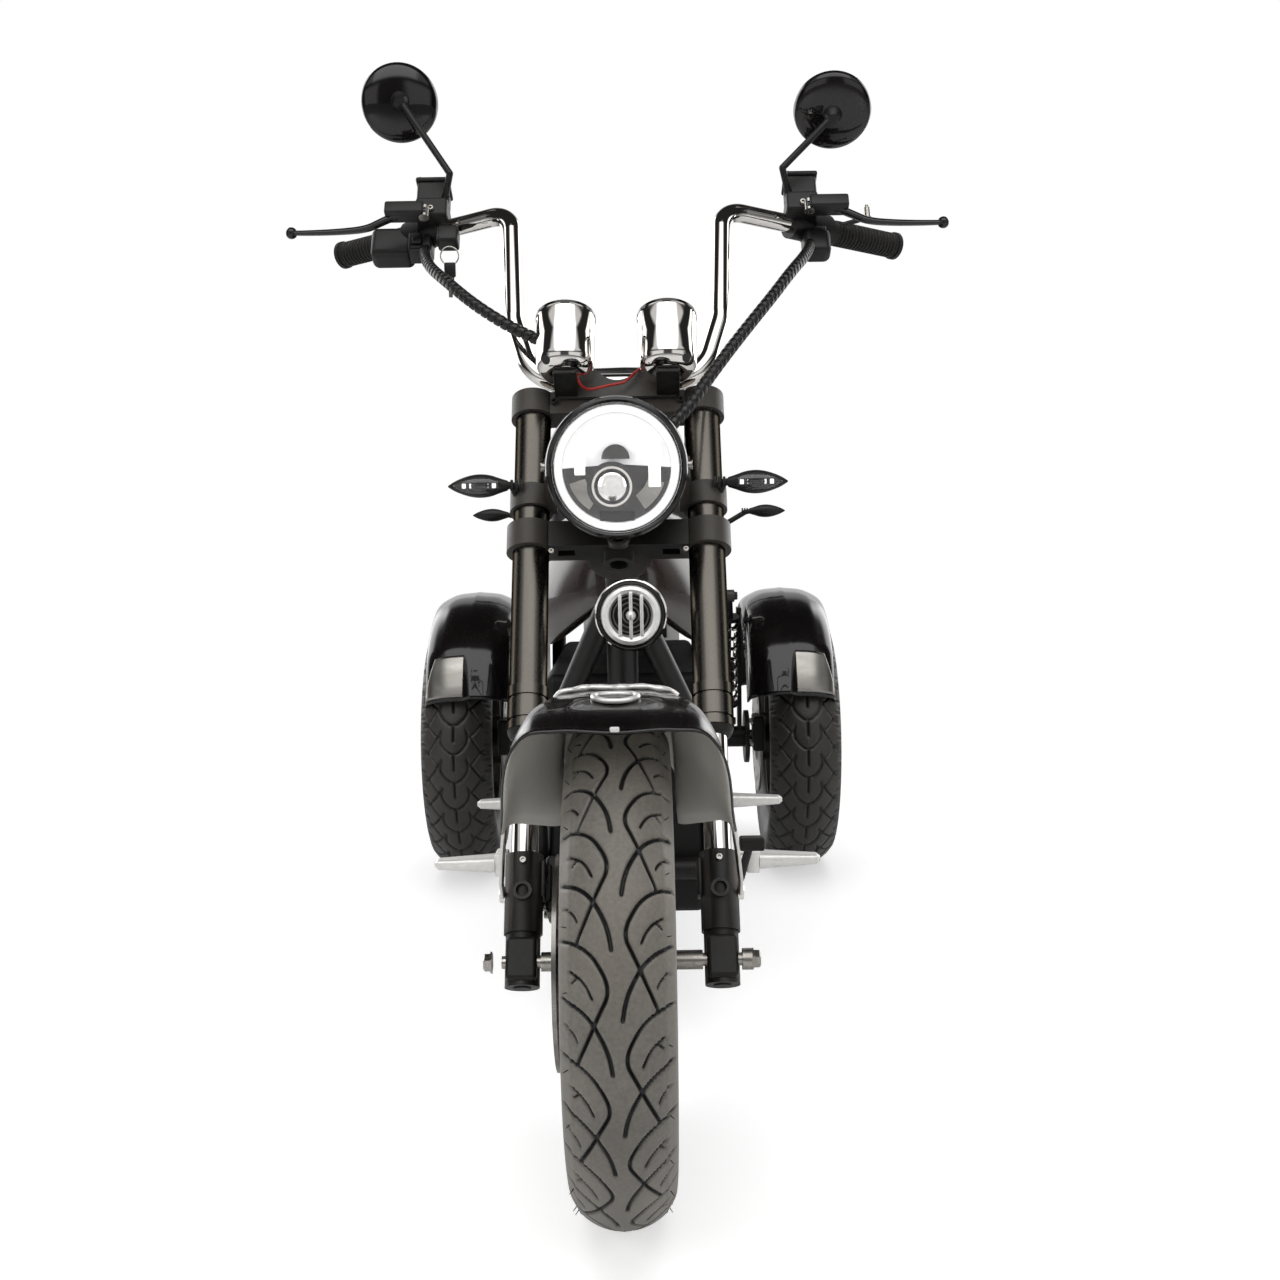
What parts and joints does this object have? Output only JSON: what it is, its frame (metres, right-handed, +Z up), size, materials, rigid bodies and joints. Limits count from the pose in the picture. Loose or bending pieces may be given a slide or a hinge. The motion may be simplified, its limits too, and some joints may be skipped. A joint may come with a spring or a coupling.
{
  "type": "three-wheeled electric scooter",
  "caption": "Three-wheeled chopper-style electric scooter with a raked steering fork, high chrome handlebar, round headlight, seats, mudguards and spinning wheels.",
  "frame": {"origin": "on the ground under the middle of the overall length and width, in the middle plane of the scooter", "axes": "+Z up, the front wheel towards -Y, +Y towards the rear, +X towards the rider's left"},
  "size_m": [0.823, 1.821, 1.2149],
  "materials": {
    "frame_black": "satin",
    "gloss_black": "gloss",
    "fork_black": "satin",
    "cast_black": "satin",
    "chrome": "polished",
    "tyre": "matte",
    "rim": "gloss",
    "disc": "satin",
    "steel": "satin",
    "alloy": "satin",
    "rubber": "matte",
    "seat": "satin",
    "lens": "clear",
    "lamp_black": "gloss",
    "red_lens": "gloss",
    "mirror": "polished",
    "dial": "gloss",
    "loom": "matte",
    "plate": "satin",
    "battery": "satin"
  },
  "bodies": {
    "chassis": {"frame_spine": "frame_black", "lower_rails": "frame_black", "seat_frame": "frame_black", "rear_uprights": "frame_black", "battery_box": "battery", "body_cover": "gloss_black", "side_covers": "gloss_black", "rider_seat": "seat", "passenger_seat": "seat", "rest_tube": "chrome", "back_rest": "seat", "rear_rack": "frame_black", "blank_plate": "plate", "tail_lamp": "red_lens", "rear_signals": "lamp_black", "rear_axle": "cast_black", "swing_arm": "frame_black", "shocks": "steel", "rear_mudguard_left": "gloss_black", "rear_mudguard_right": "gloss_black", "rear_calipers": "cast_black", "rider_pegs": "alloy", "passenger_pegs": "alloy", "foot_pedal": "rubber", "horn": "chrome"},
    "steering": {"fork_castings": "cast_black", "front_axle": "steel", "fork_stanchions": "chrome", "fork_tubes": "fork_black", "lower_clamp": "cast_black", "upper_clamp": "cast_black", "handlebar": "chrome", "bar_clamp": "cast_black", "grips": "rubber", "bar_controls": "lamp_black", "brake_levers": "cast_black", "mirror_stalks": "frame_black", "mirror_heads": "gloss_black", "mirror_glasses": "mirror", "dial_cups": "chrome", "dial_faces": "dial", "headlight_shell": "gloss_black", "headlight_lens": "lens", "headlight_ears": "cast_black", "front_signals": "lamp_black", "front_mudguard": "gloss_black", "front_caliper": "cast_black", "loom_left": "loom", "loom_right": "loom"},
    "front_wheel": {"front_tyre": "tyre", "front_rim": "rim", "front_brake_disc": "disc"},
    "rear_wheel_left": {"rear_tyre_left": "tyre", "rear_rim_left": "rim", "rear_brake_disc_left": "disc"},
    "rear_wheel_right": {"rear_tyre_right": "tyre", "rear_rim_right": "rim", "rear_brake_disc_right": "disc"}
  },
  "joints": [
    {"name": "steering", "type": "hinge", "parent": "chassis", "child": "steering", "pos_m": [0, -0.39002, 0.66491], "axis": [0, 0.4939, 0.8695], "range_deg": [-40, 40]},
    {"name": "front_wheel_spin", "type": "hinge", "parent": "steering", "child": "front_wheel", "pos_m": [0, -0.686, 0.235], "axis": [1, 0, 0], "continuous": true},
    {"name": "rear_wheel_left_spin", "type": "hinge", "parent": "chassis", "child": "rear_wheel_left", "pos_m": [0.298, 0.634, 0.236], "axis": [1, 0, 0], "continuous": true},
    {"name": "rear_wheel_right_spin", "type": "hinge", "parent": "chassis", "child": "rear_wheel_right", "pos_m": [-0.298, 0.634, 0.236], "axis": [1, 0, 0], "continuous": true}
  ]
}
